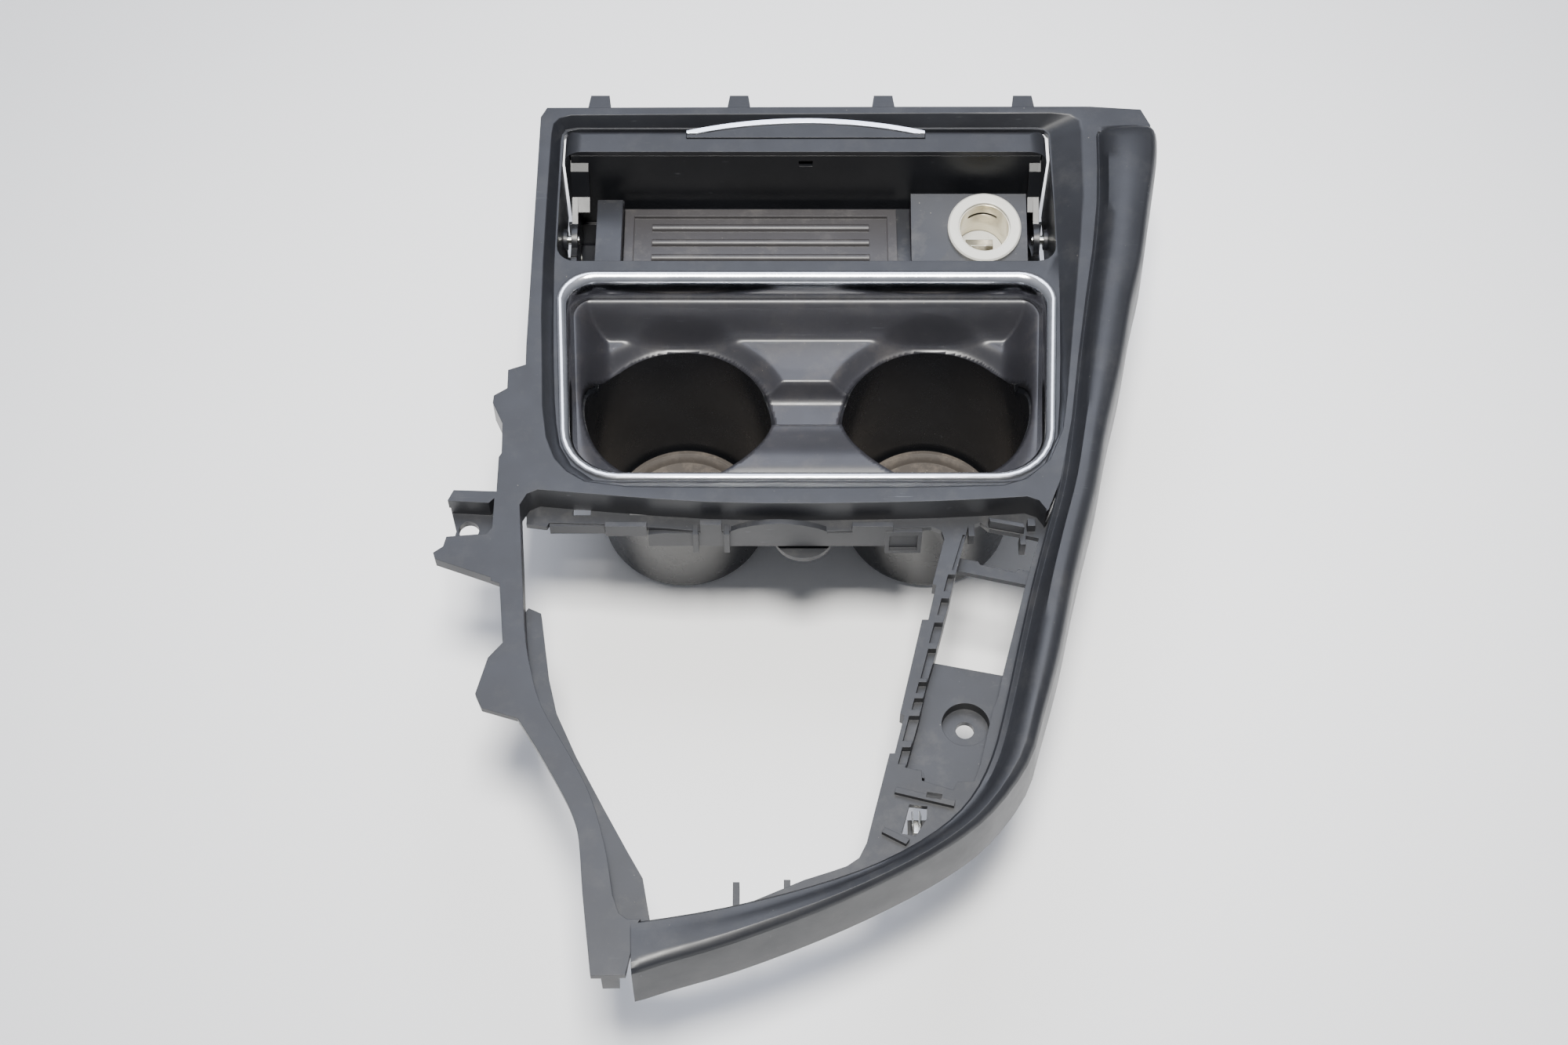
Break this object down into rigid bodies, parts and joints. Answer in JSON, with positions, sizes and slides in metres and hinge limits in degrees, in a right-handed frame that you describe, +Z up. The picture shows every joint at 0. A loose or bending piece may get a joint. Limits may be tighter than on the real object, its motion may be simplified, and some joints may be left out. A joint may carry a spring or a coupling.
{
  "type": "car cup holder",
  "caption": "Centre console panel with two cup wells, a lidded tray, a power socket, a framed shifter opening and a side bolster.",
  "frame": {"origin": "under the middle of the part's box, on the surface that the cups stand on", "axes": "+X to the bolster's side, +Y to the front of the car, +Z up"},
  "size_m": [0.2944, 0.406, 0.1146],
  "materials": {
    "panel_plastic": "fine grain, matt",
    "carrier_plastic": "plain moulded, matt",
    "basin_plastic": "fine grain, matt",
    "black_plastic": "smooth, semi-matt",
    "white_plastic": "smooth",
    "rubber": "matt",
    "satin_chrome": "satin plated",
    "plated_steel": "bright plated",
    "contact_brass": "tin plated",
    "black_steel": "black zinc"
  },
  "bodies": {
    "console": {"trim_panel": "panel_plastic", "carrier_frame": "carrier_plastic", "chrome_surround": "satin_chrome", "cup_basin": "basin_plastic", "cup_housing": "black_plastic", "left_cup_mat": "rubber", "right_cup_mat": "rubber", "storage_tray": "black_plastic", "tray_mat": "rubber", "socket_shell": "plated_steel", "socket_ring": "white_plastic", "socket_contact": "contact_brass", "socket_insulator": "white_plastic", "socket_terminals": "plated_steel", "left_hinge_pin": "plated_steel", "right_hinge_pin": "plated_steel", "damper_body": "black_plastic", "housing_screws": "black_steel", "front_screw": "black_steel", "rear_spring_clip": "plated_steel"},
    "lid": {"lid_panel": "panel_plastic", "lid_frame": "black_plastic", "lid_grip": "black_plastic", "handle_trim": "satin_chrome"},
    "damper_rotor": {"damper_gear": "white_plastic"}
  },
  "joints": [
    {"name": "lid_hinge", "type": "hinge", "parent": "console", "child": "lid", "pos_m": [0, 0.1465, 0.075], "axis": [1, 0, 0], "range_deg": [0, 90]},
    {"name": "damper_spin", "type": "hinge", "parent": "console", "child": "damper_rotor", "pos_m": [-0.10353, 0.1465, 0.05585], "axis": [1, 0, 0], "range_deg": [-252, 0]}
  ],
  "couplings": [
    {"joint": "damper_spin", "follows": "lid_hinge", "ratio": -2.8}
  ]
}
